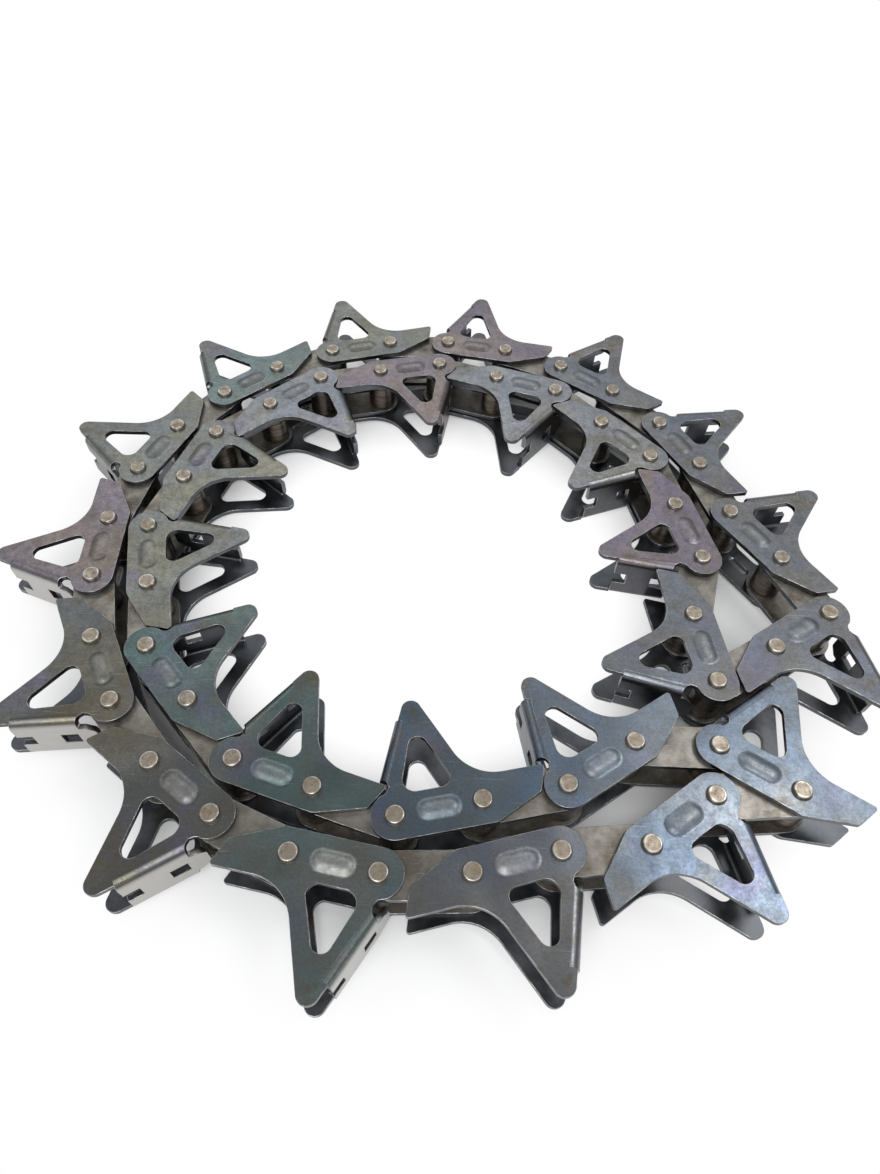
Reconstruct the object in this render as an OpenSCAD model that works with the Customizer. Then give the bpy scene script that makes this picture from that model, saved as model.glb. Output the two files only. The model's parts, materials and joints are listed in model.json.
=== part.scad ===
// Closed loop of finned roller chain, laid flat and folded into a double C.
// Units are mm. Z is up, the chain rests on its lower pin heads at z = 0.

/* [Chain] */
// Distance between neighbouring pin axes
pitch = 41.4; // [41:0.1:42]
// Clear width between the two side plates of a roller link
inner_width = 20.2; // [18:0.1:22]
// Half depth of a fin plate along its straight back edge
plate_half = 11.5; // [10.5:0.1:12]
// Half depth of a roller link side plate
side_half = 11; // [10:0.1:11.5]

/* [Sheet and plates] */
// Thickness of the folded fin sheet
sheet = 3; // [2:0.1:3.5]
// Thickness of a roller link side plate
side_plate = 3.1; // [2:0.1:3.5]
// Gap between a fin plate and the side plate under it
axial_play = 0.3; // [0.2:0.05:0.6]

/* [Pins, bushes and rollers] */
// Pin shank diameter
pin_d = 8; // [7:0.1:8.5]
// Riveted pin head diameter
pin_head_d = 8.9; // [8.6:0.1:10]
// Height of a riveted pin head above the fin plate
pin_head_h = 2.3; // [1.5:0.1:3]
// Bevel round the riveted pin head
pin_bevel = 0.6; // [0.2:0.1:1]
// Bush outside diameter
bush_d = 11.3; // [11:0.1:12]
// Roller outside diameter
roller_d = 17.8; // [16:0.1:18.4]
// Bevel on the roller ends
roller_bevel = 0.6; // [0.2:0.1:1]
// Radial running clearance of a pin in its bush
pin_play = 0.1; // [0.05:0.01:0.2]
// Radial running clearance of a roller on its bush
roller_play = 0.15; // [0.1:0.01:0.3]
// End clearance of a roller at each side plate
roller_end_play = 0.3; // [0.2:0.05:0.6]
// Seam left round pressed-in pins and bushes so that each stays its own piece
seat_seam = 0.02; // [0.01:0.01:0.05]

/* [Fin plate outline] */
// How far the tail corner reaches behind the tail pin
tail_reach = 33.2; // [32:0.1:34]
// Height of the tail edge above the pin line, on the fin side
tail_edge = 12.2; // [11.5:0.1:13]
// Lower end of the slanted tail end, behind the tail pin
tail_heel = 28.2; // [27:0.1:29]
// Depth of that lower end below the pin line
tail_heel_drop = 0.8; // [0:0.1:2]
// Where the slanted heel cut meets the straight back edge, behind the tail pin
tail_cut = 5; // [3:0.5:8]
// Corner radius at the tail corner
tail_corner_r = 1.5; // [0.5:0.1:2]
// Corner radius at the heel
heel_r = 2.5; // [1:0.1:4]
// Corner radius where the heel cut meets the back edge
cut_r = 8; // [4:0.5:12]
// Foot of the trailing fin edge, ahead of the tail pin
fin_foot = 2.9; // [2:0.1:4]
// Concave radius at that foot
fin_foot_r = 23; // [18:0.5:26]
// Sharp apex of the fin outline before rounding, ahead of the tail pin and out from the pin line
fin_apex = [25.2, 64.6];
// Radius of the fin tip
fin_tip_r = 5; // [4:0.1:6]
// Where the neck beside the fold leaves the round head end, angle round the head pin
neck_angle = 66; // [62:1:70]
// How far that point lies inside the round head end
neck_inset = 0.05; // [0.02:0.01:0.2]
// How far a corner arc runs past the straight edges it joins, so that they cross cleanly
corner_lap = 0.02; // [0.01:0.01:0.05]
// Where the neck meets the fold, distance from the web root
neck_lift = 0.5; // [0.2:0.1:1]

/* [Folded web] */
// Root of the outer web face, from the tail pin
web_root = [47.2, 16];
// Direction of the web from the pin line
web_angle = 112.5; // [111:0.5:114]
// Length of the web from root to tip end
web_length = 35; // [33:0.5:36]
// Outside radius of the fold
fold_r = 5; // [4:0.1:6]
// How far the flat plates run on past the bend in the folded section
flange_lap = 1.5; // [1:0.1:2]
// How far the flat tip finger stands back from the outer web face
finger_back = 1.6; // [1:0.1:2.5]
// How far the flat tip finger runs back over the end of the web
finger_lap = 0.5; // [0.3:0.1:1]
// Reach of the web tongue below the root, at half height
tongue_reach = 4.5; // [3:0.1:5]
// Half height of the tongue end
tongue_half = 6; // [4:0.5:7]
// Clearance of the tongue's root below and above the side plates
tongue_play = 0.4; // [0.3:0.1:1]
// Corner radius of the tongue
tongue_r = 2; // [1:0.1:3]
// Relief notch between the fold and the head end, centre from the tail pin
notch_at = [46.8, 14.6];
// Relief notch radius
notch_r = 4.3; // [4:0.1:4.6]
// Window in the web, distance from the root
window_start = 5.3; // [4:0.1:7]
// Window length along the web
window_length = 8.2; // [7:0.1:9]
// Window height
window_height = 8.3; // [7:0.1:9]
// Open notch at the tip end of the web, length along the web
end_notch = 7.5; // [6:0.1:8]

/* [Lightening hole and rib] */
// Lightening hole lower edge, out from the pin line
hole_floor = 9.8; // [9.5:0.1:11]
// Lightening hole sharp left corner, ahead of the tail pin
hole_left = 10.3; // [10:0.1:12]
// Lightening hole sharp right corner, ahead of the tail pin
hole_right = 37.7; // [36:0.1:38]
// Lightening hole sharp apex
hole_apex = [25.7, 45.1];
// Lightening hole corner radii: left, right, apex
hole_radii = [4.8, 6, 4.7];
// Pressed rib length
rib_length = 20; // [18:0.5:21]
// Pressed rib width
rib_width = 9.4; // [8:0.1:9.6]
// Pressed rib height above the plate
rib_height = 1.5; // [1:0.1:2]
// Slope width of the rib sides
rib_slope = 1.5; // [1:0.1:2]
// How much narrower the hollow under the rib is, each side
rib_wall = 1.9; // [1.5:0.1:2.2]

/* [Lay of the loop] */
// Radius of the pin circle of the outer strand
outer_radius = 186; // [185.5:0.1:186.5]
// Shift of the outer pin circle from the inner one
outer_shift = [0.5, -1];
// Polar angle of the first outer pin
outer_start = 10.5; // [10:0.1:11]
// Pins of the outer strand that lie on its circle
outer_count = 23;
// Mean radius of the pin circle of the inner strand
inner_radius = 158; // [157.5:0.1:158.5]
// Radial stagger of the inner pins, where the tails rest against the next link
inner_stagger = 2.7; // [2.4:0.1:2.9]
// Polar angle of the first inner pin
inner_start = -62.5; // [-63:0.1:-62]
// Pins of the inner strand that lie on its circle
inner_count = 22;
// Headings of the three links laid from the inner strand into the upper tip
upper_tip = [-82, 32, 34];
// Headings of the four links laid from the outer strand into the lower tip
lower_tip = [6, 36, 5, 148];

/* [Hidden] */
$fn = 64;
eps = 0.5;
side_z = inner_width / 2;
side_top = side_z + side_plate;
flat_z = side_top + axial_play;
fin_half = flat_z + sheet;
stand = fin_half + pin_head_h;
bush_bore = pin_d + 2 * pin_play;
roller_bore = bush_d + 2 * roller_play;
roller_half = side_z - roller_end_play;
hole_pts = [[hole_left, hole_floor], [hole_right, hole_floor], hole_apex];
rib_mid = pitch / 2;
tongue_base_half = side_z - tongue_play;
flange = fold_r + flange_lap;
plate_start = fold_r + flange_lap / 2;

// Lay: both strands run on pin circles, the two folded tips close the loop
outer_step = 2 * asin(pitch / 2 / outer_radius);
near_r = inner_radius - inner_stagger;
far_r = inner_radius + inner_stagger;
inner_step = acos((far_r * far_r + near_r * near_r - pitch * pitch) / (2 * far_r * near_r));
outer_pins = [for (k = [0:outer_count - 1]) outer_shift + polar(outer_radius, outer_start + k * outer_step)];
inner_pins = [for (k = [0:inner_count - 1])
    polar(k % 2 == 0 ? far_r : near_r, inner_start - k * inner_step)];
up_a = inner_pins[inner_count - 1] + polar(pitch, upper_tip[0]);
up_b = up_a + polar(pitch, upper_tip[1]);
up_c = up_b + polar(pitch, upper_tip[2]);
up_d = joint_between(up_c, outer_pins[0]);
low_a = outer_pins[outer_count - 1] + polar(pitch, lower_tip[0]);
low_b = low_a + polar(pitch, lower_tip[1]);
low_c = low_b + polar(pitch, lower_tip[2]);
low_d = low_c + polar(pitch, lower_tip[3]);
low_e = joint_between(low_d, inner_pins[0]);
laid_pins = concat([up_b, up_c, up_d], outer_pins, [low_a, low_b, low_c, low_d, low_e], inner_pins, [up_a]);
pin_count = len(laid_pins);
fin_count = pin_count / 2;

// The fin tips set the box of the loop, so the loop is centred on them
tip_out = fin_apex - [0, fin_tip_r / sin(apex_half())];
tips = [for (k = [0:fin_count - 1]) link_point(laid_pins[2 * k], laid_pins[2 * k + 1], tip_out)];
tip_x = [for (t = tips) t[0]];
tip_y = [for (t = tips) t[1]];
loop_mid = [max(tip_x) + min(tip_x), max(tip_y) + min(tip_y)] / 2;
pins = [for (p = laid_pins) p - loop_mid];

function polar(r, a) = [r * cos(a), r * sin(a)];
function heading(a, b) = atan2(b[1] - a[1], b[0] - a[0]);
function joint_between(a, b) =
    let (v = b - a, l = norm(v), rise = sqrt(max(0, pitch * pitch - l * l / 4)))
    (a + b) / 2 + rise / l * [v[1], -v[0]];
function link_point(a, b, p) =
    let (u = (b - a) / norm(b - a)) a + p[0] * u + p[1] * [u[1], -u[0]];
function web_point(along, back) =
    web_root + along * polar(1, web_angle) + back * polar(1, web_angle + 90);
function apex_half() = atan((fin_apex[0] - fin_foot) / (fin_apex[1] - tail_edge));
function two(n) = n < 10 ? str("0", n) : str(n);
function fin_name(k) = str("fin_link_", two(k + 1));
function roller_name(k) = str("roller_link_", two(k + 1));

// Corner helpers for outlines with rounded corners
function unit(v) = v / norm(v);
function cross2(a, b) = a[0] * b[1] - a[1] * b[0];
function before(pts, i) = pts[(i + len(pts) - 1) % len(pts)];
function after(pts, i) = pts[(i + 1) % len(pts)];
function half_angle(pts, i) =
    acos(unit(before(pts, i) - pts[i]) * unit(after(pts, i) - pts[i])) / 2;
function setback(pts, i, r) = r / tan(half_angle(pts, i));
function corner_points(pts, i, r) = r <= 0 ? [pts[i]] : [
    pts[i] + setback(pts, i, r) * unit(before(pts, i) - pts[i]),
    pts[i] + setback(pts, i, r) * unit(after(pts, i) - pts[i])];
function corner_centre(pts, i, r) = pts[i] + r / sin(half_angle(pts, i))
    * unit(unit(before(pts, i) - pts[i]) + unit(after(pts, i) - pts[i]));
function winding(pts) = sign([for (i = [0:len(pts) - 1]) cross2(pts[i], after(pts, i))]
    * [for (i = [0:len(pts) - 1]) 1]);
function convex(pts, i) =
    winding(pts) * cross2(pts[i] - before(pts, i), after(pts, i) - pts[i]) > 0;

// Outline through the given points, each corner rounded by its own radius
module soft_outline(pts, radii) {
    last = len(pts) - 1;
    difference() {
        union() {
            polygon([for (i = [0:last]) each corner_points(pts, i, radii[i])]);
            for (i = [0:last])
                if (radii[i] > 0 && convex(pts, i))
                    translate(corner_centre(pts, i, radii[i])) circle(r = radii[i] + corner_lap);
        }
        for (i = [0:last])
            if (radii[i] > 0 && !convex(pts, i))
                translate(corner_centre(pts, i, radii[i])) circle(r = radii[i] + corner_lap);
    }
}

// Plan of one flat fin plate, tail pin at the origin, head pin at x = pitch, fin towards y
module fin_plate_outline() {
    difference() {
        union() {
            soft_outline([
                [-tail_reach, tail_edge],
                [fin_foot, tail_edge],
                fin_apex,
                web_point(web_length - finger_lap, finger_back),
                web_point(web_length - finger_lap, plate_start),
                web_point(neck_lift, plate_start),
                [pitch, 0] + polar(plate_half - neck_inset, neck_angle),
                [pitch, 0],
                [pitch, -plate_half],
                [-tail_cut, -plate_half],
                [-tail_heel, -tail_heel_drop]],
                [tail_corner_r, fin_foot_r, fin_tip_r, 0, 0, 0, 0, 0, 0, cut_r, heel_r]);
            translate([pitch, 0]) circle(r = plate_half);
        }
        soft_outline(hole_pts, hole_radii);
        for (x = [0, pitch]) translate([x, 0]) circle(d = pin_d + 2 * seat_seam);
    }
}

// Tapered oblong pressing, from its wide foot at z = 0 up to its crown
module rib_pressing(length, width, slope, height) {
    straight = (length - width) / 2;
    profile = [[0, 0], [width / 2, 0], [width / 2 - slope, height], [0, height]];
    for (side = [0, 1])
        rotate(180 * side) translate([straight, 0, 0])
            rotate(-90) rotate_extrude(angle = 180) polygon(profile);
    translate([-straight, 0, 0]) rotate([90, 0, 90]) linear_extrude(2 * straight)
        polygon([[-width / 2, 0], [width / 2, 0], [width / 2 - slope, height], [slope - width / 2, height]]);
}

// Flat top plate of the folded sheet, with its rib pressed outwards
module flat_plate() {
    difference() {
        union() {
            translate([0, 0, flat_z]) linear_extrude(sheet) fin_plate_outline();
            translate([rib_mid, 0, fin_half]) rib_pressing(rib_length, rib_width, rib_slope, rib_height);
        }
        translate([rib_mid, 0, flat_z])
            rib_pressing(rib_length - 2 * rib_wall, rib_width - 2 * rib_wall, rib_slope, rib_height);
    }
}

// Upright web and its two folds: a U section trimmed to the web's side view
module folded_web() {
    translate(web_root) rotate(web_angle) intersection() {
        translate([-tongue_reach - eps, 0, 0]) rotate([90, 0, 90])
            linear_extrude(web_length + tongue_reach + 2 * eps) fold_section();
        translate([0, flange + eps, 0]) rotate([90, 0, 0])
            linear_extrude(flange + 2 * eps) web_side_view();
    }
}

// Section across the web: the upright sheet, a quarter bend at each end and the start of each flat plate
module fold_section() {
    upright = fin_half - fold_r;
    translate([0, -upright]) square([sheet, 2 * upright]);
    for (side = [0, 1]) mirror([0, side]) {
        translate([fold_r, upright]) intersection() {
            difference() {
                circle(r = fold_r);
                circle(r = fold_r - sheet);
            }
            translate([-fold_r, 0]) square(fold_r);
        }
        translate([fold_r, flat_z]) square([flange - fold_r, sheet]);
    }
}

module web_side_view() {
    top = fin_half + eps;
    difference() {
        soft_outline([
            [-tongue_reach, -tongue_half], [0, -tongue_base_half], [0, -top], [web_length, -top],
            [web_length, top], [0, top], [0, tongue_base_half], [-tongue_reach, tongue_half]],
            [tongue_r, 0, 0, 0, 0, 0, 0, tongue_r]);
        translate([window_start, -window_height / 2]) square([window_length, window_height]);
        translate([web_length - end_notch, -window_height / 2]) square([end_notch + eps, window_height]);
    }
}

// One folded sheet: two flat plates joined by the web along the leading fin edge, with a relief notch at each fold
module folded_fin() {
    notch_depth = fin_half - tongue_base_half + eps;
    color([0.36, 0.40, 0.47]) difference() {
        union() {
            flat_plate();
            mirror([0, 0, 1]) flat_plate();
            folded_web();
        }
        for (z = [-fin_half - eps, tongue_base_half])
            translate(concat(notch_at, z)) cylinder(r = notch_r, h = notch_depth);
    }
}

// Riveted pin, headed at both ends
module pin() {
    r = pin_d / 2;
    hr = pin_head_d / 2;
    under = fin_half + seat_seam;
    color([0.68, 0.60, 0.52]) rotate_extrude() polygon([
        [0, -stand], [hr - pin_bevel, -stand], [hr, pin_bevel - stand], [hr, -under], [r, -under],
        [r, under], [hr, under], [hr, stand - pin_bevel], [hr - pin_bevel, stand], [0, stand]]);
}

module bush() {
    color([0.45, 0.40, 0.35]) translate([0, 0, -side_top]) linear_extrude(2 * side_top) difference() {
        circle(d = bush_d);
        circle(d = bush_bore);
    }
}

module roller() {
    r = roller_d / 2;
    b = roller_bore / 2;
    color([0.30, 0.25, 0.20]) rotate_extrude() polygon([
        [b, -roller_half], [r - roller_bevel, -roller_half], [r, roller_bevel - roller_half],
        [r, roller_half - roller_bevel], [r - roller_bevel, roller_half], [b, roller_half]]);
}

// Straight-sided plate with round ends, bored for its two bushes
module side_plate_piece() {
    color([0.55, 0.50, 0.43]) linear_extrude(side_plate) difference() {
        union() {
            translate([0, -side_half]) square([pitch, 2 * side_half]);
            for (x = [0, pitch]) translate([x, 0]) circle(r = side_half);
        }
        for (x = [0, pitch]) translate([x, 0]) circle(d = bush_d + 2 * seat_seam);
    }
}

// Fin link: folded sheet and two riveted pins
module fin_link() {
    folded_fin();
    for (x = [0, pitch]) translate([x, 0, 0]) pin();
}

// Roller link: two side plates, two bushes, two rollers
module roller_link() {
    for (z = [-side_top, side_z]) translate([0, 0, z]) side_plate_piece();
    for (x = [0, pitch]) translate([x, 0, 0]) {
        bush();
        roller();
    }
}

// Sets a link on pins i and i + 1, its fin side to the right of the way it runs
module laid_on(i) {
    a = pins[i];
    b = pins[(i + 1) % pin_count];
    translate([a[0], a[1], stand]) rotate(heading(a, b)) rotate([180, 0, 0]) children();
}

for (k = [0:fin_count - 1]) {
    laid_on(2 * k) fin_link();
    laid_on(2 * k + 1) roller_link();
}
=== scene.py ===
"""A closed loop of finned roller chain on a white table, dressed link by link around its solids."""
import json
import math

import bmesh
import bpy
from mathutils import Matrix, Vector

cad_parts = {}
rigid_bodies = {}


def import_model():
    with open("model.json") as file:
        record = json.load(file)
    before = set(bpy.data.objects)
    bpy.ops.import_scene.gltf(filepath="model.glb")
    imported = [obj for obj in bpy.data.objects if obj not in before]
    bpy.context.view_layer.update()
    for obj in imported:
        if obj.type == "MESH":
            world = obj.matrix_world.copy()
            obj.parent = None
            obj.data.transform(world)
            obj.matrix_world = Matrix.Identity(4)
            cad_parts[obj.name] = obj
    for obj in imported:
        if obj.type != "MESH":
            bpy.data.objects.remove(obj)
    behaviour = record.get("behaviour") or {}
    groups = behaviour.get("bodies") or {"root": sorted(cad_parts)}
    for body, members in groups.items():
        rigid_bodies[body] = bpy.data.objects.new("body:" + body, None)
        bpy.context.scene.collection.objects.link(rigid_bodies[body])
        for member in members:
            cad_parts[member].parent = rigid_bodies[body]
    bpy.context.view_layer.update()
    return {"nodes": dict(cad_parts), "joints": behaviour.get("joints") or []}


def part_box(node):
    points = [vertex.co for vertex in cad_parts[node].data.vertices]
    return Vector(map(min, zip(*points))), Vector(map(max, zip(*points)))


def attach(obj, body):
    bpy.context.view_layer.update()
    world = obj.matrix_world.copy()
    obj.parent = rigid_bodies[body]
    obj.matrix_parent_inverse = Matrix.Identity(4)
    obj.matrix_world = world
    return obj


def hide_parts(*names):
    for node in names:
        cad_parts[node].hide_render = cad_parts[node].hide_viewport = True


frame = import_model()
hinges = {frozenset((j["parent"], j["child"])): Vector(j["pos_m"]) for j in frame["joints"]}

# Chain sizes in metres
MM = 0.001
LINKS = range(1, 28)
PITCH = 41.4 * MM
PLATE_TOP = 16.5 * MM
SHEET = 3 * MM
FOLD_RADIUS = 5 * MM
FIN_REACH = 60 * MM
RIB_LENGTH = 20 * MM
RIB_WIDTH = 9.4 * MM
WEB_ROOT = Vector((47.2, 16)) * MM
WEB_ANGLE = math.radians(112.5)
WEB_LENGTH = 35 * MM
WEB_ALONG = Vector((math.cos(WEB_ANGLE), math.sin(WEB_ANGLE)))
WEB_INWARD = Vector((-math.sin(WEB_ANGLE), math.cos(WEB_ANGLE)))
PIN_RADIUS = 4 * MM
PIN_PLAY = 0.1 * MM
PIN_HEAD_RADIUS = 4.45 * MM
PIN_HEAD_BEVEL = 0.45 * MM
PIN_DISH = 0.06 * MM
PIN_DISH_RADIUS = 3.5 * MM
BUSH_RADIUS = 5.65 * MM
ROLLER_RADIUS = 8.9 * MM
ROLLER_HALF = 9.8 * MM
ROLLER_BEVEL = 0.6 * MM
ROLLER_PLAY = 0.15 * MM

# Painted shade ring round a pin head, and the seam under it
SHADE_RING_WIDTH = 0.6 * MM
SHADE_RING_HEIGHT = 0.2 * MM
SEAM = 0.03 * MM

# Where the painted light on a web ends: inwards, past its far end, and up and down
WEB_FADE = 1.1 * MM
WEB_OVERRUN = 1 * MM
WEB_HALF = PLATE_TOP - FOLD_RADIUS / 4

# Soft ribs: spread of the foot, steps up to the crown, height, hollow share of the climb, and the margin
# within which a face of the solid counts as part of its rib
RIB_SHOULDER = 1.3 * MM
RIB_STEP = 0.46 * MM
RIB_LOOPS = 12
RIB_PILLOW = 1.35 * MM
RIB_FOOT = 0.42
RIB_MARGIN = 0.1 * MM

# Edges and facets
MERGE = 0.002 * MM
SHEET_MERGE = 0.08 * MM
FLAT_ANGLE = math.radians(0.4)
EDGE_ANGLE = math.radians(50)
SMOOTH_ANGLE = math.radians(42)
SHEET_EDGE = 0.26 * MM
PLATE_EDGE = 0.25 * MM
BEVEL_STEPS = 2
NORMAL_WEIGHT = 60
PIN_STEPS = 40
ROLLER_STEPS = 56

# Shares of a pin head's bevel, in from the rim and down from the top, along its rolled rim
ROLLED_RIM = ((1.3, 0), (1, 0.06), (0.45, 0.28), (0.12, 0.7), (0, 1.25))
DISH_FLOOR = 0.8
DISH_LIP = 0.3
ROLLED_CORNER = 0.3

# Limits that sort faces by their normals
LEVEL = 0.5
SHEARED = 0.05
FACING_IN = 0.4

# Share of the sheet's thickness, from outside, in which a face counts as part of a plate
IN_PLATE = 0.8

# Shares of a roller link's height that tell side plates and bushes from rollers
PLATE_SPAN = 0.25
BUSH_SPAN = 0.95

# Places in a piece's list of finishes
FACE, EDGE, DARK = range(3)
PIN_END, PIN_ROUND, PIN_SHADE_RING = range(3)

# The camera of the photograph: place, tilt below the horizon, roll, turn and lens
IMAGE_HEIGHT = 1174
CAMERA_PLACE = Vector((7.6, -283.5, 388.8)) * MM
CAMERA_TILT = math.radians(54.36)
CAMERA_ROLL = math.radians(2.2)
CAMERA_TURN = math.radians(0.1)
FOCAL_PIXELS = 782.8
SENSOR = 36
NEAR_CLIP = 0.01

# The table, and the distances from its middle over which it turns from white to matt and back
TABLE_SIZE = 3
TABLE_WHITE = (0.92, 0.92, 0.92)
MATT_BEGINS = (0.115, 0.16)
MATT_ENDS = (0.185, 0.25)

# The room's ring of light: two limits on the height or the side of a direction, then the strength at each
RING_RISE = (0.59, 0.68, 0.72, 2.35)
RING_FALL = (0.72, 0.89, 1.0, 0.11)
LEFT_FADE = (-0.5, -0.25, 0.65, 1.0)
RIGHT_FADE = (0.12, 0.30, 1.0, 0.6)
ROOM_TINT = (0.97, 0.99, 1.0)

# Softboxes: place, target, size and power
SOFTBOXES = {
    "front_softbox": ((-0.2, -0.9, 1.3), (0, 0, 0), 1.0, 11),
    "right_softbox": ((0.52, 0.06, 0.87), (0.13, -0.17, 0.0), 0.30, 1.7),
}

# Temper tints of the fin links: which links have which cast
TEMPERS = {
    "mauve": (5, 9, 23, 26),
    "olive": (6, 8, 20, 21),
    "umber": (10, 11),
    "blue": (14, 15, 16),
    "deep_blue": (17,),
    "teal": (7, 12),
    "deep_teal": (18, 19),
    "grey": (1, 2, 3, 4, 13, 27),
    "pale_grey": (22, 24, 25),
}
TINTS = {
    "mauve": ((0.245, 0.205, 0.197), (0.225, 0.20, 0.245)),
    "olive": ((0.235, 0.23, 0.185), (0.215, 0.23, 0.225)),
    "umber": ((0.175, 0.16, 0.12), (0.15, 0.16, 0.165)),
    "blue": ((0.165, 0.215, 0.285), (0.205, 0.235, 0.27)),
    "deep_blue": ((0.115, 0.165, 0.235), (0.145, 0.185, 0.22)),
    "teal": ((0.16, 0.22, 0.225), (0.22, 0.235, 0.22)),
    "deep_teal": ((0.12, 0.175, 0.175), (0.165, 0.19, 0.185)),
    "grey": ((0.215, 0.215, 0.21), (0.19, 0.21, 0.25)),
    "pale_grey": ((0.27, 0.27, 0.265), (0.24, 0.26, 0.295)),
}

# Webs painted pale as a reflection of the white table, and the mark that paints all other webs dark as shade
REFLECTION_PAINTED_WEBS = (9, 10, 11, 12, 13)
WEB_PAINTED_SHADE = -0.75

# Colours, in pairs where a finish drifts from a dark one to a light one
WARM_SCALE = (0.19, 0.165, 0.125)
VIOLET_SCALE = (0.19, 0.17, 0.29)
SPECK_DARK = (0.06, 0.06, 0.065)
STAIN_BROWN = (0.15, 0.115, 0.06)
# Pale steel: real grain and scratches, and also the painted reflection on webs and the painted sheen on rib
# crowns
PALE_STEEL = (0.50, 0.49, 0.47)
# Painted shade: near-black tones for inner faces, sheared sides and inward-facing webs
PAINTED_SHADE_TONES = ((0.075, 0.08, 0.09), (0.13, 0.135, 0.145))
# Edge steel: its pale end is wear and also a painted highlight along the edges
EDGE_STEEL = ((0.16, 0.16, 0.165), (0.47, 0.47, 0.46))
PIN_FACE = ((0.25, 0.20, 0.145), (0.42, 0.37, 0.31))
PIN_SPECK = (0.09, 0.065, 0.04)
# Pin rim: brighter than the end as a painted highlight
PIN_RIM = ((0.30, 0.265, 0.22), (0.60, 0.56, 0.50))
# Painted shade ring round pin heads
CONTACT_SHADE = ((0.02, 0.018, 0.016), (0.05, 0.042, 0.03))
SIDE_STEEL = ((0.12, 0.106, 0.09), (0.305, 0.285, 0.255))
OIL = (0.12, 0.085, 0.03)
ROLLER_STEEL = ((0.06, 0.05, 0.042), (0.15, 0.125, 0.10))
SCRATCH_STRETCH = 30


# Shader building blocks

def add_node(tree, kind, **settings):
    node = tree.nodes.new(kind)
    for name, value in settings.items():
        setattr(node, name, value)
    return node


def feed(tree, socket, value):
    """Sets a socket to a constant, or links another node's output to it."""
    if isinstance(value, bpy.types.NodeSocket):
        tree.links.new(value, socket)
    elif isinstance(value, tuple) and len(value) == 3 and socket.type == "RGBA":
        socket.default_value = (*value, 1)
    else:
        socket.default_value = value


def object_coords(tree):
    return add_node(tree, "ShaderNodeTexCoord").outputs["Object"]


def mapped(tree, coords, scale, shift=(0, 0, 0), turn=0.0):
    """Coordinates stretched, then turned about the upright axis, then moved."""
    node = add_node(tree, "ShaderNodeMapping")
    feed(tree, node.inputs["Vector"], coords)
    node.inputs["Scale"].default_value = scale
    node.inputs["Rotation"].default_value = (0, 0, turn)
    node.inputs["Location"].default_value = shift
    return node.outputs["Vector"]


def shifted(tree, coords, x, y, z):
    """Coordinates moved aside, so that one pattern doesn't repeat another."""
    return mapped(tree, coords, (1, 1, 1), (x, y, z))


def noise(tree, coords, scale, detail=3.0, rough=0.55):
    node = add_node(tree, "ShaderNodeTexNoise")
    feed(tree, node.inputs["Vector"], coords)
    node.inputs["Scale"].default_value = scale
    node.inputs["Detail"].default_value = detail
    node.inputs["Roughness"].default_value = rough
    return node.outputs["Fac"]


def between(tree, value, low, high, to_low=0.0, to_high=1.0):
    """Maps a value from one range to another, held at both ends."""
    node = add_node(tree, "ShaderNodeMapRange", clamp=True)
    feed(tree, node.inputs["Value"], value)
    node.inputs["From Min"].default_value = low
    node.inputs["From Max"].default_value = high
    node.inputs["To Min"].default_value = to_low
    node.inputs["To Max"].default_value = to_high
    return node.outputs["Result"]


def maths(tree, operation, a, b):
    node = add_node(tree, "ShaderNodeMath", operation=operation)
    feed(tree, node.inputs[0], a)
    feed(tree, node.inputs[1], b)
    return node.outputs["Value"]


def mixed(tree, share, a, b):
    node = add_node(tree, "ShaderNodeMix", data_type="RGBA", blend_type="MIX")
    feed(tree, node.inputs["Factor"], share)
    feed(tree, node.inputs["A"], a)
    feed(tree, node.inputs["B"], b)
    return node.outputs["Result"]


def attribute(tree, name):
    return add_node(tree, "ShaderNodeAttribute", attribute_name=name).outputs["Fac"]


def bumped(tree, height, depth, strength, over=None):
    """Relief from a height, on top of another relief if there is one."""
    node = add_node(tree, "ShaderNodeBump")
    if over:
        feed(tree, node.inputs["Normal"], over)
    node.inputs["Strength"].default_value = strength
    node.inputs["Distance"].default_value = depth
    feed(tree, node.inputs["Height"], height)
    return node.outputs["Normal"]


def new_metal(name, metallic):
    """A material with its tree and its shader, as metallic as asked."""
    material = bpy.data.materials.new(name)
    material.use_nodes = True
    tree = material.node_tree
    shader = tree.nodes["Principled BSDF"]
    shader.inputs["Metallic"].default_value = metallic
    return material, tree, shader


# Finishes

def scratches(tree, coords, turn, count, low, high, strength):
    """Thin straight marks that run across the loop in one direction."""
    drawn = mapped(tree, coords, (count / SCRATCH_STRETCH, count, count), turn=turn)
    return between(tree, noise(tree, drawn, 1, 2), low, high, 0, strength)


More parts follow.
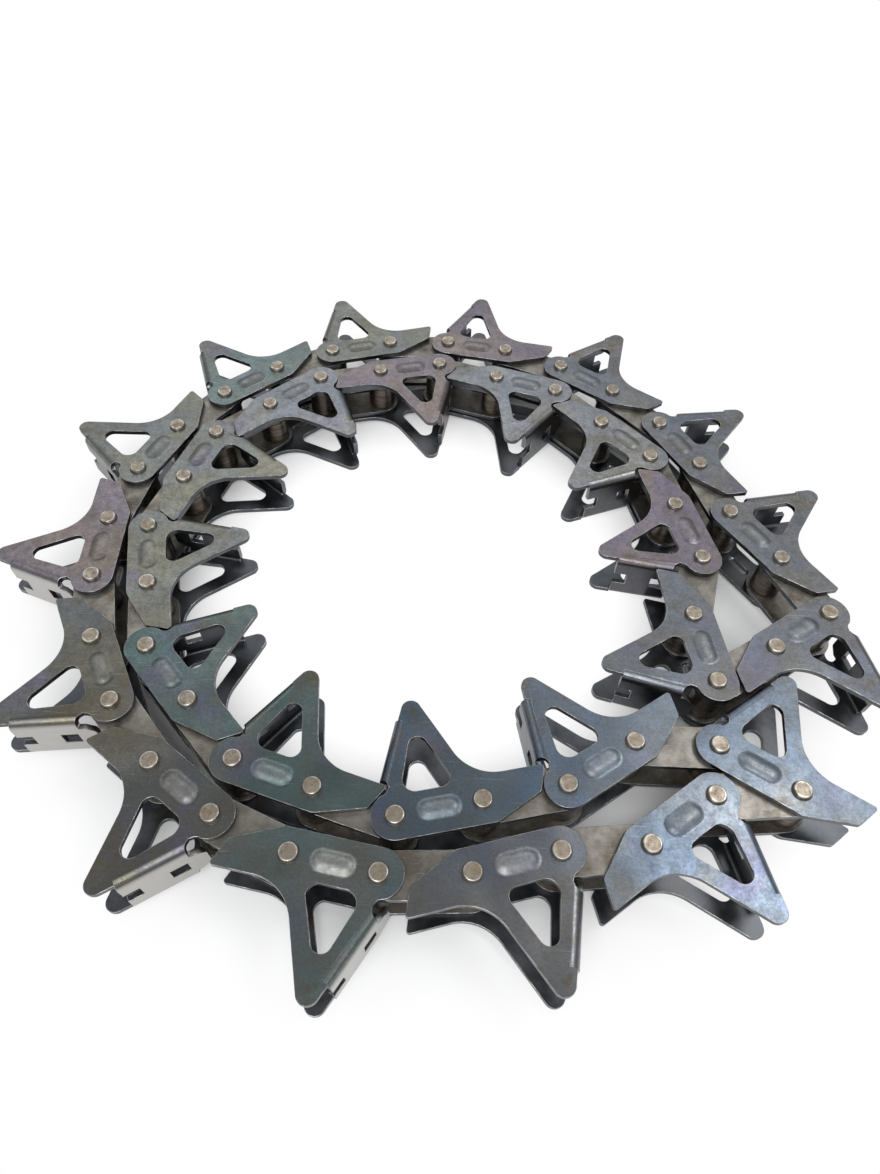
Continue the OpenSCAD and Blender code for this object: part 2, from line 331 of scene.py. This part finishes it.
def blued_steel(temper):
    """Tempered sheet: drifting tints, scale, stains, grain and scratches, with rib crowns worn and given a
    painted sheen, and webs given painted light.
    """
    material, tree, shader = new_metal("blued_steel_" + temper, 1.0)
    coords = object_coords(tree)
    drift = between(tree, noise(tree, coords, 22, 2), 0.38, 0.62)
    colour = mixed(tree, drift, *TINTS[temper])
    warm = noise(tree, shifted(tree, coords, 5, 2, 0), 30, 4, 0.6)
    colour = mixed(tree, between(tree, warm, 0.52, 0.70, 0, 0.6), colour, WARM_SCALE)
    violet = noise(tree, shifted(tree, coords, 0, 8, 1), 26, 3)
    colour = mixed(tree, between(tree, violet, 0.56, 0.68, 0, 0.45), colour, VIOLET_SCALE)
    mottle = noise(tree, coords, 200, 6, 0.72)
    colour = mixed(tree, between(tree, mottle, 0.42, 0.68, 0.0, 0.36), colour, SPECK_DARK)
    stain = between(tree, noise(tree, shifted(tree, coords, 3, 1, 2), 70, 6, 0.75), 0.50, 0.66, 0, 0.8)
    stain = maths(tree, "MULTIPLY", stain, between(tree, attribute(tree, "tip"), 0, 1, 0.25, 1.0))
    colour = mixed(tree, stain, colour, STAIN_BROWN)
    grain = noise(tree, coords, 800, 4, 0.7)
    colour = mixed(tree, between(tree, grain, 0.44, 0.70, 0.0, 0.3), colour, SPECK_DARK)
    colour = mixed(tree, between(tree, grain, 0.28, 0.38, 0.14, 0.0), colour, PALE_STEEL)
    colour = mixed(tree, scratches(tree, coords, 0.5, 1500, 0.66, 0.72, 0.45), colour, SPECK_DARK)
    colour = mixed(tree, scratches(tree, coords, -0.8, 1800, 0.68, 0.74, 0.35), colour, PALE_STEEL)
    # Rib crowns paler: rubbed wear together with a painted sheen
    crown = attribute(tree, "crown")
    crown_wear_and_painted_sheen = maths(tree, "MULTIPLY", crown, between(tree, mottle, 0.3, 0.65, 0.32, 0.10))
    colour = mixed(tree, crown_wear_and_painted_sheen, colour, PALE_STEEL)
    # Webs: a pale painted reflection of the table on some links, painted shade on the rest
    web = attribute(tree, "web")
    colour = mixed(tree, between(tree, web, -1, 0, 1, 0), colour, PAINTED_SHADE_TONES[0])
    web_painted_reflection = maths(tree, "MULTIPLY", between(tree, web, 0, 1), between(tree, mottle, 0.25, 0.65, 0.75, 0.95))
    colour = mixed(tree, web_painted_reflection, colour, PALE_STEEL)
    feed(tree, shader.inputs["Base Color"], colour)
    rough = between(tree, mottle, 0.3, 0.7, 0.27, 0.38)
    rough = maths(tree, "ADD", rough, between(tree, crown, 0, 0.3, 0, 0.12))
    feed(tree, shader.inputs["Roughness"], rough)
    wave = bumped(tree, noise(tree, coords, 24, 1), 2 * MM, 1)
    relief = maths(tree, "ADD", grain, noise(tree, coords, 120, 3))
    feed(tree, shader.inputs["Normal"], bumped(tree, relief, 0.06 * MM, 0.35, wave))
    return material


def painted_shade_steel():
    """Inner faces and sheared sides of sheets and side plates, painted near black as shade, clouded like
    scale, with old oil stains.
    """
    material, tree, shader = new_metal("painted_shade_steel", 1.0)
    coords = object_coords(tree)
    cloud = between(tree, noise(tree, coords, 60, 5, 0.65), 0.36, 0.64)
    colour = mixed(tree, cloud, *PAINTED_SHADE_TONES)
    stain = between(tree, noise(tree, shifted(tree, coords, 1, 6, 3), 80, 5, 0.7), 0.58, 0.72, 0, 0.6)
    feed(tree, shader.inputs["Base Color"], mixed(tree, stain, colour, STAIN_BROWN))
    feed(tree, shader.inputs["Roughness"], between(tree, cloud, 0, 1, 0.30, 0.40))
    feed(tree, shader.inputs["Normal"], bumped(tree, noise(tree, coords, 140, 4), 0.06 * MM, 0.3))
    return material


def worn_edge_and_highlight():
    """Rubbed corners of sheets and side plates, pale in patches, which also paints a thin highlight along
    every edge.
    """
    material, tree, shader = new_metal("worn_edge_and_highlight", 1.0)
    coords = object_coords(tree)
    patchy = between(tree, noise(tree, coords, 160, 5, 0.65), 0.42, 0.60)
    feed(tree, shader.inputs["Base Color"], mixed(tree, patchy, *EDGE_STEEL))
    feed(tree, shader.inputs["Roughness"], between(tree, patchy, 0, 1, 0.42, 0.26))
    return material


def pin_face():
    """Flat riveted end of a pin, browned in patches and specked."""
    material, tree, shader = new_metal("pin_face", 0.95)
    coords = object_coords(tree)
    patch = between(tree, noise(tree, coords, 300, 5, 0.65), 0.36, 0.64)
    colour = mixed(tree, patch, *PIN_FACE)
    specks = between(tree, noise(tree, coords, 1100, 3, 0.6), 0.55, 0.68, 0, 0.6)
    feed(tree, shader.inputs["Base Color"], mixed(tree, specks, colour, PIN_SPECK))
    feed(tree, shader.inputs["Roughness"], between(tree, patch, 0, 1, 0.46, 0.34))
    feed(tree, shader.inputs["Normal"], bumped(tree, noise(tree, coords, 700, 3), 0.12 * MM, 0.5))
    return material


def pin_side():
    """Rim and shank of a pin, brighter than its end: a painted highlight on the rolled rim."""
    material, tree, shader = new_metal("pin_side", 0.95)
    coords = object_coords(tree)
    patch = between(tree, noise(tree, coords, 300, 3), 0.4, 0.6)
    feed(tree, shader.inputs["Base Color"], mixed(tree, patch, *PIN_RIM))
    feed(tree, shader.inputs["Roughness"], between(tree, patch, 0, 1, 0.40, 0.28))
    return material


def pin_contact_shade():
    """Painted shade: a dark ring round a pin head, where it meets the plate."""
    material, tree, shader = new_metal("pin_contact_shade", 0.0)
    coords = object_coords(tree)
    patch = between(tree, noise(tree, coords, 500, 3), 0.4, 0.6)
    feed(tree, shader.inputs["Base Color"], mixed(tree, patch, *CONTACT_SHADE))
    shader.inputs["Roughness"].default_value = 0.5
    return material


def side_plate_steel():
    """Brown-grey side plates with fine scratches and oil."""
    material, tree, shader = new_metal("side_plate_steel", 0.9)
    coords = object_coords(tree)
    cloud = between(tree, noise(tree, coords, 70, 5, 0.65), 0.36, 0.64)
    colour = mixed(tree, cloud, *SIDE_STEEL)
    oil_stain_and_shade_ring = between(tree, noise(tree, shifted(tree, coords, 7, 4, 0), 60, 4, 0.6), 0.55, 0.70, 0, 0.6)
    colour = mixed(tree, oil_stain_and_shade_ring, colour, OIL)
    scratch = between(tree, noise(tree, mapped(tree, coords, (150, 2600, 150)), 1, 2), 0.64, 0.70, 0, 0.35)
    colour = mixed(tree, scratch, colour, PALE_STEEL)
    feed(tree, shader.inputs["Base Color"], colour)
    feed(tree, shader.inputs["Roughness"], between(tree, cloud, 0, 1, 0.46, 0.36))
    feed(tree, shader.inputs["Normal"], bumped(tree, noise(tree, coords, 1100, 3), 0.08 * MM, 0.35))
    return material


def roller_steel():
    """Oiled rollers and bushes, dark brown with rolled bands."""
    material, tree, shader = new_metal("roller_steel", 0.92)
    coords = object_coords(tree)
    bands = noise(tree, mapped(tree, coords, (60, 60, 900)), 1, 3)
    colour = mixed(tree, between(tree, bands, 0.35, 0.65), *ROLLER_STEEL)
    feed(tree, shader.inputs["Base Color"], colour)
    sheen = noise(tree, coords, 200, 3)
    feed(tree, shader.inputs["Roughness"], between(tree, sheen, 0.35, 0.65, 0.26, 0.42))
    return material


# Mesh work on merged copies of the solids

def merged_copy(node):
    """The node's mesh with its loose triangles merged."""
    bm = bmesh.new()
    bm.from_mesh(frame["nodes"][node].data)
    bmesh.ops.remove_doubles(bm, verts=bm.verts, dist=MERGE)
    return bm


def whole_faces(bm, merge):
    """Merges what lies closer than a bevel needs and makes flat stretches whole faces."""
    bmesh.ops.remove_doubles(bm, verts=bm.verts, dist=merge)
    bmesh.ops.dissolve_limit(bm, angle_limit=FLAT_ANGLE, verts=bm.verts, edges=bm.edges,
                             use_dissolve_boundaries=False, delimit=set())


def solids_in(bm):
    """The faces of each closed solid, the largest solid first."""
    left = set(bm.faces)
    found = []
    while left:
        start = left.pop()
        group = {start}
        waiting = [start]
        while waiting:
            for edge in waiting.pop().edges:
                for face in edge.link_faces:
                    if face in left:
                        left.discard(face)
                        group.add(face)
                        waiting.append(face)
        found.append(group)
    return sorted(found, key=lambda group: -sum(face.calc_area() for face in group))


def middle(faces):
    """Middle of the box round some faces."""
    points = [vert.co for face in faces for vert in face.verts]
    low = Vector([min(p[i] for p in points) for i in range(3)])
    high = Vector([max(p[i] for p in points) for i in range(3)])
    return (low + high) / 2


def rise_of(faces):
    """Height of the box round some faces."""
    heights = [vert.co.z for face in faces for vert in face.verts]
    return max(heights) - min(heights)


def keep_only(bm, faces):
    bmesh.ops.delete(bm, geom=[face for face in bm.faces if face not in faces], context="FACES")


def is_edge(edge):
    return len(edge.link_faces) == 2 and edge.is_convex and edge.calc_face_angle(0) > EDGE_ANGLE


def round_edges(bm, width):
    """Bevels all sharp outer edges and gives the new faces the edge finish."""
    sharp = [edge for edge in bm.edges if is_edge(edge)]
    made = bmesh.ops.bevel(bm, geom=sharp, offset=width, offset_type="OFFSET", segments=BEVEL_STEPS,
                           profile=0.5, affect="EDGES", material=-1, clamp_overlap=False)
    for face in made["faces"]:
        face.material_index = EDGE


def spin_profile(bm, profile, centre, steps):
    """Spins a profile of (radius, height) points about an upright axis."""
    verts = [bm.verts.new(centre + Vector((r, 0, z))) for r, z in profile]
    edges = [bm.edges.new((a, b)) for a, b in zip(verts, verts[1:])]
    bmesh.ops.spin(bm, geom=verts + edges, cent=centre, axis=(0, 0, 1), angle=2 * math.pi,
                   steps=steps, use_merge=True, dvec=(0, 0, 0))


class LinkFrame:
    """A fin link's own axes: x from tail pin to head pin, y towards the fin, z from middle height."""

    def __init__(self, tail, head):
        self.tail = tail
        self.along = (head - tail).normalized()
        self.out = Vector((self.along.y, -self.along.x, 0))

    def place(self, point):
        gap = point - self.tail
        return gap.dot(self.along), gap.dot(self.out), gap.z

    def on_web(self, point):
        """1 on the outer face of the web, falling to 0 as its folds begin."""
        x, y, z = self.place(point)
        gap = Vector((x, y)) - WEB_ROOT
        beside = -FOLD_RADIUS < gap.dot(WEB_ALONG) < WEB_LENGTH + WEB_OVERRUN
        if not beside or abs(z) > WEB_HALF:
            return 0.0
        share = min(1.0, max(0.0, 1 - gap.dot(WEB_INWARD) / WEB_FADE))
        return share * share * (3 - 2 * share)

    def on_rib(self, face):
        """Whether a face is part of a pressed rib: its slope or its crown."""
        spots = [self.place(vert.co) for vert in face.verts]
        inside = all(abs(x - PITCH / 2) < RIB_LENGTH / 2 + RIB_MARGIN and abs(y) < RIB_WIDTH / 2 + RIB_MARGIN
                     and abs(z) > PLATE_TOP - RIB_MARGIN for x, y, z in spots)
        return inside and any(abs(z) > PLATE_TOP + RIB_MARGIN for x, y, z in spots)

    def off_rib_axis(self, point):
        """Level direction from the nearest point of the rib's straight axis to a point of its foot."""
        x, y, z = self.place(point)
        reach = (RIB_LENGTH - RIB_WIDTH) / 2
        nearest = min(max(x, PITCH / 2 - reach), PITCH / 2 + reach)
        return ((x - nearest) * self.along + y * self.out).normalized()

    def is_dark(self, face):
        """Whether a face is a sheared edge of a plate or looks into the sheet's own U."""
        height = self.place(face.calc_center_median())[2]
        if abs(height) > PLATE_TOP - IN_PLATE * SHEET:
            return abs(face.normal.z) < SHEARED
        facing = Vector((face.normal.dot(self.along), face.normal.dot(self.out)))
        looks_in = face.normal.z * height < -LEVEL * abs(height)
        return looks_in or facing.dot(WEB_INWARD) > FACING_IN


def as_piece(bm, name, finishes, node):
    """Turns a bmesh into a piece that rides on its link and stands for the link's solids."""
    mesh = bpy.data.meshes.new(name)
    bm.to_mesh(mesh)
    bm.free()
    for finish in finishes:
        mesh.materials.append(finish)
    mesh.shade_smooth()
    mesh.set_sharp_from_angle(angle=SMOOTH_ANGLE)
    piece = bpy.data.objects.new(name, mesh)
    bpy.context.scene.collection.objects.link(piece)
    weighted = piece.modifiers.new("even_faces", "WEIGHTED_NORMAL")
    weighted.keep_sharp = True
    weighted.weight = NORMAL_WEIGHT
    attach(piece, node)
    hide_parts(node)


# Pieces of a fin link

def rib_rise(inward):
    """Height of a pressed rib at a distance in from the outside of its shoulder."""
    share = inward / (RIB_LOOPS * RIB_STEP)
    if share < RIB_FOOT:
        return RIB_PILLOW * share * share / RIB_FOOT
    return RIB_PILLOW * (1 - (1 - share) ** 2 / (1 - RIB_FOOT))


def pillow_rib(bm, link, rib_faces):
    """Remakes a pressed rib as a soft pillow whose shoulder spreads its foot."""
    crown = bmesh.ops.dissolve_faces(bm, faces=rib_faces, use_verts=False)["region"][0]
    for vert in crown.verts:
        vert.co += link.off_rib_axis(vert.co) * RIB_SHOULDER
    for step in range(RIB_LOOPS):
        climb = rib_rise((step + 1) * RIB_STEP) - rib_rise(step * RIB_STEP)
        bmesh.ops.inset_individual(bm, faces=[crown], thickness=RIB_STEP, depth=climb, use_even_offset=True)


def mark_wear_and_painted_light(number, link, bm):
    """Marks each point for the finish: painted light on the web (a pale reflection on some links, shade on
    the rest), height up a rib for its wear and painted sheen, and reach out towards the fin's tip for its
    stains.
    """
    web = bm.verts.layers.float.new("web")
    crown = bm.verts.layers.float.new("crown")
    tip = bm.verts.layers.float.new("tip")
    # pale painted reflection on the listed webs, painted shade on all others
    web_painted_light = 1.0 if number in REFLECTION_PAINTED_WEBS else WEB_PAINTED_SHADE
    for vert in bm.verts:
        vert[web] = web_painted_light * link.on_web(vert.co)
        x, y, z = link.place(vert.co)
        rise = max(0.0, abs(z) - PLATE_TOP)
        if y > RIB_WIDTH / 2 + RIB_SHOULDER:
            # a bevel corner that stands proud beside the relief notch is laid flush with its plate
            vert.co.z -= math.copysign(rise, z)
            rise = 0.0
        vert[crown] = rise / RIB_PILLOW
        vert[tip] = y / FIN_REACH


def fin_sheet(number, node, link, bm, sheet_faces, finishes):
    keep_only(bm, sheet_faces)
    whole_faces(bm, SHEET_MERGE)
    bm.normal_update()
    rib_faces = [face for face in bm.faces if link.on_rib(face)]
    upper_rib = [face for face in rib_faces if face.normal.z > 0]
    lower_rib = [face for face in rib_faces if face.normal.z < 0]
    pillow_rib(bm, link, upper_rib)
    pillow_rib(bm, link, lower_rib)
    for face in bm.faces:
        # faces that look into the sheet's U and sheared sides of plates get painted shade
        face.material_index = DARK if link.is_dark(face) else FACE
    round_edges(bm, SHEET_EDGE)
    mark_wear_and_painted_light(number, link, bm)
    as_piece(bm, f"fin_sheet_{number:02d}", finishes, node)


def pin_profile(top):
    """Half section of a riveted pin from the middle of one end to the middle of the other."""
    rim = PIN_HEAD_RADIUS
    dish = [
        (0, top - PIN_DISH),
        (PIN_DISH_RADIUS * DISH_FLOOR, top - PIN_DISH),
        (PIN_DISH_RADIUS, top - PIN_DISH * DISH_LIP),
    ]
    rolled = [(rim - PIN_HEAD_BEVEL * a, top - PIN_HEAD_BEVEL * b) for a, b in ROLLED_RIM]
    oil_stain_and_shade_ring = [
        (rim, PLATE_TOP + SHADE_RING_HEIGHT),
        # the ring round the head where it meets the plate takes the painted shade finish
        (rim + SHADE_RING_WIDTH, PLATE_TOP + SEAM),
        (PIN_RADIUS, PLATE_TOP + SEAM),
    ]
    half = dish + rolled + oil_stain_and_shade_ring
    return half + [(r, -z) for r, z in reversed(half)]


def pin_finish(face, centres):
    """Which of a pin's finishes a face has."""
    reach = min((face.calc_center_median() - centre).to_2d().length for centre in centres)
    if reach < PIN_DISH_RADIUS and abs(face.normal.z) > LEVEL:
        return PIN_END
    if reach > PIN_HEAD_RADIUS:
        return PIN_SHADE_RING
    return PIN_ROUND


def pins(number, node, centres, top, finishes):
    bm = bmesh.new()
    for centre in centres:
        spin_profile(bm, pin_profile(top), centre, PIN_STEPS)
    bmesh.ops.remove_doubles(bm, verts=bm.verts, dist=MERGE)
    bmesh.ops.recalc_face_normals(bm, faces=bm.faces)
    bm.normal_update()
    for face in bm.faces:
        face.material_index = pin_finish(face, centres)
    as_piece(bm, f"pins_{number:02d}", finishes, node)


def fin_link(number, steel, finishes):
    node = f"fin_link_{number:02d}"
    bm = merged_copy(node)
    sheet_faces, *pin_faces = solids_in(bm)
    hinge = hinges[frozenset((node, f"roller_link_{number:02d}"))]
    head, tail = sorted((middle(faces) for faces in pin_faces), key=lambda point: (point - hinge).length)
    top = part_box(node)[1].z - tail.z
    pin_finishes = [finishes["pin_face"], finishes["pin_side"], finishes["pin_contact_shade"]]
    pins(number, node, (tail, head), top, pin_finishes)
    sheet_finishes = [steel, finishes["worn_edge_and_highlight"], finishes["painted_shade_steel"]]
    fin_sheet(number, node, LinkFrame(tail, head), bm, sheet_faces, sheet_finishes)


# Pieces of a roller link

def side_plates(number, node, bm, plate_faces, finishes):
    keep_only(bm, plate_faces)
    whole_faces(bm, MERGE)
    bm.normal_update()
    for face in bm.faces:
        # upright faces of the side plates get painted shade
        face.material_index = DARK if abs(face.normal.z) < LEVEL else FACE
    round_edges(bm, PLATE_EDGE)
    as_piece(bm, f"side_plates_{number:02d}", finishes, node)


def roller_profile():
    """Full section round a roller's wall, with rolled corners."""
    r, h, b = ROLLER_RADIUS, ROLLER_HALF, ROLLER_BEVEL
    bore = BUSH_RADIUS + ROLLER_PLAY
    corner = (r - b * ROLLED_CORNER, h - b * ROLLED_CORNER)
    half = [(bore, 0), (bore, h), (r - b, h), corner, (r, h - b), (r, 0)]
    return half + [(x, -z) for x, z in reversed(half)][1:-1] + [(bore, 0)]


def bush_profile(height):
    """Full section round a bush's wall."""
    bore = PIN_RADIUS + PIN_PLAY
    return [(bore, -height), (BUSH_RADIUS, -height), (BUSH_RADIUS, height), (bore, height), (bore, -height)]


def rollers(number, node, centres, height, finishes):
    bm = bmesh.new()
    for centre in centres:
        spin_profile(bm, roller_profile(), centre, ROLLER_STEPS)
        spin_profile(bm, bush_profile(height), centre, PIN_STEPS)
    bmesh.ops.remove_doubles(bm, verts=bm.verts, dist=MERGE)
    bmesh.ops.recalc_face_normals(bm, faces=bm.faces)
    as_piece(bm, f"rollers_{number:02d}", finishes, node)


def roller_link(number, finishes):
    node = f"roller_link_{number:02d}"
    bm = merged_copy(node)
    low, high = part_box(node)
    full = high.z - low.z
    found = solids_in(bm)
    plates = [faces for faces in found if rise_of(faces) < PLATE_SPAN * full]
    bushes = [faces for faces in found if rise_of(faces) > BUSH_SPAN * full]
    centres = [middle(faces) for faces in bushes]
    rollers(number, node, centres, full / 2, [finishes["roller_steel"]])
    plate_finishes = [finishes["side_plate_steel"], finishes["worn_edge_and_highlight"], finishes["painted_shade_steel"]]
    side_plates(number, node, bm, set().union(*plates), plate_finishes)


# Table, light and camera

def white_table():
    """White to the camera and in the metal, but matt in a ring under the chain, where soft shadows lie."""
    material = bpy.data.materials.new("white_table")
    material.use_nodes = True
    tree = material.node_tree
    tree.nodes.clear()
    matt = add_node(tree, "ShaderNodeBsdfDiffuse")
    feed(tree, matt.inputs["Color"], TABLE_WHITE)
    glow = add_node(tree, "ShaderNodeEmission")
    reach = add_node(tree, "ShaderNodeVectorMath", operation="LENGTH")
    feed(tree, reach.inputs[0], object_coords(tree))
    inner = between(tree, reach.outputs["Value"], *MATT_BEGINS, 1.0, 0.0)
    outer = between(tree, reach.outputs["Value"], *MATT_ENDS, 0.0, 1.0)
    white = add_node(tree, "ShaderNodeMixShader")
    feed(tree, white.inputs["Fac"], maths(tree, "MAXIMUM", inner, outer))
    tree.links.new(matt.outputs["BSDF"], white.inputs[1])
    tree.links.new(glow.outputs["Emission"], white.inputs[2])
    path = add_node(tree, "ShaderNodeLightPath")
    seen = maths(tree, "MAXIMUM", path.outputs["Is Camera Ray"], path.outputs["Is Glossy Ray"])
    seen = maths(tree, "MAXIMUM", seen, path.outputs["Is Transmission Ray"])
    choose = add_node(tree, "ShaderNodeMixShader")
    feed(tree, choose.inputs["Fac"], seen)
    tree.links.new(matt.outputs["BSDF"], choose.inputs[1])
    tree.links.new(white.outputs["Shader"], choose.inputs[2])
    out = add_node(tree, "ShaderNodeOutputMaterial")
    tree.links.new(choose.outputs["Shader"], out.inputs["Surface"])
    return material


def table():
    bm = bmesh.new()
    bmesh.ops.create_grid(bm, x_segments=1, y_segments=1, size=TABLE_SIZE)
    mesh = bpy.data.meshes.new("table")
    bm.to_mesh(mesh)
    bm.free()
    mesh.materials.append(white_table())
    floor = bpy.data.objects.new("table", mesh)
    bpy.context.scene.collection.objects.link(floor)


def room():
    """A pale room with a ring of light half way up, dim overhead and weaker to the left and right."""
    world = bpy.data.worlds.new("room")
    bpy.context.scene.world = world
    world.use_nodes = True
    tree = world.node_tree
    tree.nodes.clear()
    direction = add_node(tree, "ShaderNodeSeparateXYZ")
    feed(tree, direction.inputs["Vector"], add_node(tree, "ShaderNodeTexCoord").outputs["Generated"])
    across = direction.outputs["X"]
    upward = direction.outputs["Z"]
    strength = between(tree, upward, *RING_RISE)
    for part, fade in ((upward, RING_FALL), (across, LEFT_FADE), (across, RIGHT_FADE)):
        strength = maths(tree, "MULTIPLY", strength, between(tree, part, *fade))
    light = add_node(tree, "ShaderNodeBackground")
    feed(tree, light.inputs["Strength"], strength)
    feed(tree, light.inputs["Color"], ROOM_TINT)
    out = add_node(tree, "ShaderNodeOutputWorld")
    tree.links.new(light.outputs["Background"], out.inputs["Surface"])


def softbox(name, place, target, size, power):
    lamp = bpy.data.lights.new(name, "AREA")
    lamp.shape = "SQUARE"
    lamp.size = size
    lamp.energy = power
    stand = bpy.data.objects.new(name, lamp)
    stand.location = place
    stand.rotation_euler = (Vector(target) - Vector(place)).to_track_quat("-Z", "Y").to_euler()
    bpy.context.scene.collection.objects.link(stand)


def photo_camera():
    ahead = Vector((math.sin(CAMERA_TURN) * math.cos(CAMERA_TILT),
                    math.cos(CAMERA_TURN) * math.cos(CAMERA_TILT), -math.sin(CAMERA_TILT)))
    level = Vector((math.cos(CAMERA_TURN), -math.sin(CAMERA_TURN), 0))
    rise = level.cross(ahead)
    right = math.cos(CAMERA_ROLL) * level + math.sin(CAMERA_ROLL) * rise
    up = math.cos(CAMERA_ROLL) * rise - math.sin(CAMERA_ROLL) * level
    data = bpy.data.cameras.new("photo_camera")
    data.sensor_fit = "VERTICAL"
    data.sensor_height = SENSOR
    data.lens = FOCAL_PIXELS / IMAGE_HEIGHT * SENSOR
    data.clip_start = NEAR_CLIP
    camera = bpy.data.objects.new("photo_camera", data)
    turn = Matrix((right, up, -ahead)).transposed()
    camera.matrix_world = Matrix.Translation(CAMERA_PLACE) @ turn.to_4x4()
    bpy.context.scene.collection.objects.link(camera)
    bpy.context.scene.camera = camera


photo_camera()
table()
room()
for box_name, settings in SOFTBOXES.items():
    softbox(box_name, *settings)

plain_finishes = {
    "worn_edge_and_highlight": worn_edge_and_highlight(),
    "pin_face": pin_face(),
    "pin_side": pin_side(),
    "pin_contact_shade": pin_contact_shade(),
    "painted_shade_steel": painted_shade_steel(),
    "side_plate_steel": side_plate_steel(),
    "roller_steel": roller_steel(),
}
for temper, numbers in TEMPERS.items():
    temper_steel = blued_steel(temper)
    for n in numbers:
        fin_link(n, temper_steel, plain_finishes)
for n in LINKS:
    roller_link(n, plain_finishes)

bpy.context.scene.view_settings.view_transform = "Standard"
